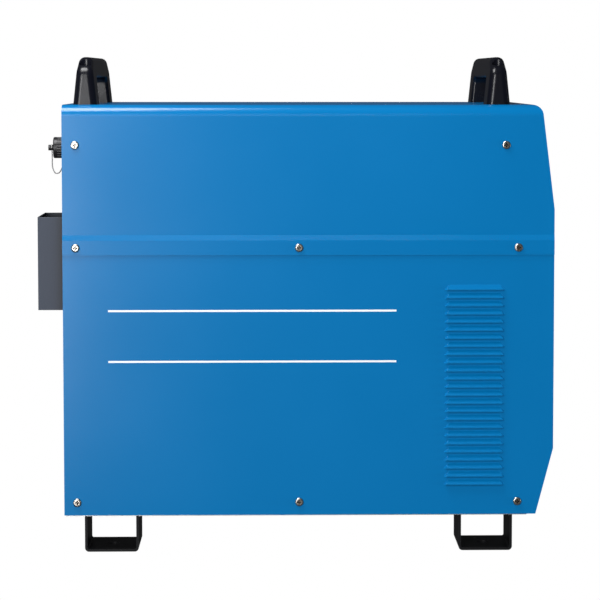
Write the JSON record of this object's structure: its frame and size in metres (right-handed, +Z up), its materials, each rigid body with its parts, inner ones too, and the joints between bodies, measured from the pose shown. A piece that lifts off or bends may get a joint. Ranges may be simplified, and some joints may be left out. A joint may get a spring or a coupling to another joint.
{
  "type": "plasma cutter unit",
  "caption": "Inverter air plasma cutter in a folded steel casing with louvred sides, two arched handles, strap feet, a sloped control face and an open box behind.",
  "frame": {"origin": "on the ground, under the middle of the box round the machine", "axes": "+X out of the front, the control side; -Y out of the machine's right side, the side in the picture; +Z up"},
  "size_m": [0.631, 0.3288, 0.607],
  "materials": {
    "blue_paint": "fine-textured powder coat",
    "charcoal_paint": "fine-textured powder coat",
    "black_paint": "satin black powder coat",
    "zinc_sheet": "zinc-plated sheet",
    "handle_plastic": "fine-grained black nylon",
    "bright_zinc": "bright zinc",
    "plated_brass": "nickel-plated",
    "cap_metal": "black finish, worn bright on the rim",
    "lanyard_cord": "grey braid",
    "fan_metal": "black-painted casting",
    "fan_plastic": "black moulding",
    "switch_plastic": "moulded",
    "lever_plastic": "black moulding",
    "knob_plastic": "black moulding",
    "steel_parts": "plain",
    "toggle_metal": "nickel-plated",
    "gland_nylon": "black nylon",
    "meter_plastic": "black moulding",
    "meter_glass": "smoked red window",
    "lamp_glass": "translucent lens",
    "outlet_plastic": "filled nylon",
    "brass": "turned",
    "aluminium": "extruded",
    "winding": "varnished tape",
    "board": "solder mask",
    "hose_rubber": "smooth hose"
  },
  "bodies": {
    "machine": {"upper_cover": "blue_paint", "right_side_panel": "blue_paint", "left_side_panel": "blue_paint", "front_panel": "charcoal_paint", "rear_panel": "charcoal_paint", "rear_box": "black_paint", "rear_right_foot": "black_paint", "rear_left_foot": "black_paint", "front_right_foot": "black_paint", "front_left_foot": "black_paint", "base_tray": "zinc_sheet", "inner_shelf": "zinc_sheet", "fan_guard": "zinc_sheet", "rear_handle": "handle_plastic", "front_handle": "handle_plastic", "casing_screws": "bright_zinc", "handle_bolts": "bright_zinc", "cap_ring": "bright_zinc", "earth_stud": "bright_zinc", "board_standoffs": "bright_zinc", "control_socket": "plated_brass", "trigger_socket": "plated_brass", "gas_inlet": "plated_brass", "cap_lanyard": "lanyard_cord", "fan_frame": "fan_metal", "breaker_body": "switch_plastic", "potentiometer": "switch_plastic", "gas_valve": "switch_plastic", "ignition_unit": "switch_plastic", "inverter_modules": "switch_plastic", "rectifier_modules": "switch_plastic", "transformer_core": "steel_parts", "choke_core": "steel_parts", "control_transformer_core": "steel_parts", "gas_test_switch": "toggle_metal", "trigger_mode_switch": "toggle_metal", "cable_gland": "gland_nylon", "meter_case": "meter_plastic", "meter_window": "meter_glass", "indicator_lamps": "lamp_glass", "torch_connector": "outlet_plastic", "work_socket": "outlet_plastic", "work_socket_insert": "brass", "right_heat_sink": "aluminium", "left_heat_sink": "aluminium", "bus_capacitors": "aluminium", "transformer_winding": "winding", "choke_winding": "winding", "control_transformer_winding": "winding", "drive_board": "board", "control_board": "board", "gas_hose": "hose_rubber"},
    "fan_rotor": {"fan_rotor": "fan_plastic"},
    "breaker_lever": {"breaker_lever": "lever_plastic"},
    "dust_cap": {"dust_cap": "cap_metal"},
    "current_knob": {"current_knob": "knob_plastic", "knob_shaft": "steel_parts"},
    "gas_test_lever": {"gas_test_lever": "toggle_metal"},
    "trigger_mode_lever": {"trigger_mode_lever": "toggle_metal"}
  },
  "joints": [
    {"name": "fan_spin", "type": "hinge", "parent": "machine", "child": "fan_rotor", "pos_m": [-0.2555, 0, 0.181], "axis": [1, 0, 0], "continuous": true},
    {"name": "breaker_throw", "type": "hinge", "parent": "machine", "child": "breaker_lever", "pos_m": [-0.28329, 0.062, 0.445], "axis": [0, 1, 0], "range_deg": [0, 64]},
    {"name": "cap_turn", "type": "hinge", "parent": "machine", "child": "dust_cap", "pos_m": [-0.2905, -0.12, 0.496], "axis": [-1, 0, 0], "range_deg": [0, 90]},
    {"name": "knob_turn", "type": "hinge", "parent": "machine", "child": "current_knob", "pos_m": [0.27848, 0, 0.453], "axis": [0.9877, 0, 0.1564], "range_deg": [-150, 150]},
    {"name": "gas_test_throw", "type": "hinge", "parent": "machine", "child": "gas_test_lever", "pos_m": [0.28337, -0.088, 0.45377], "axis": [0, -1, 0], "range_deg": [0, 24]},
    {"name": "trigger_mode_throw", "type": "hinge", "parent": "machine", "child": "trigger_mode_lever", "pos_m": [0.28337, 0.088, 0.45377], "axis": [0, -1, 0], "range_deg": [0, 24]}
  ]
}
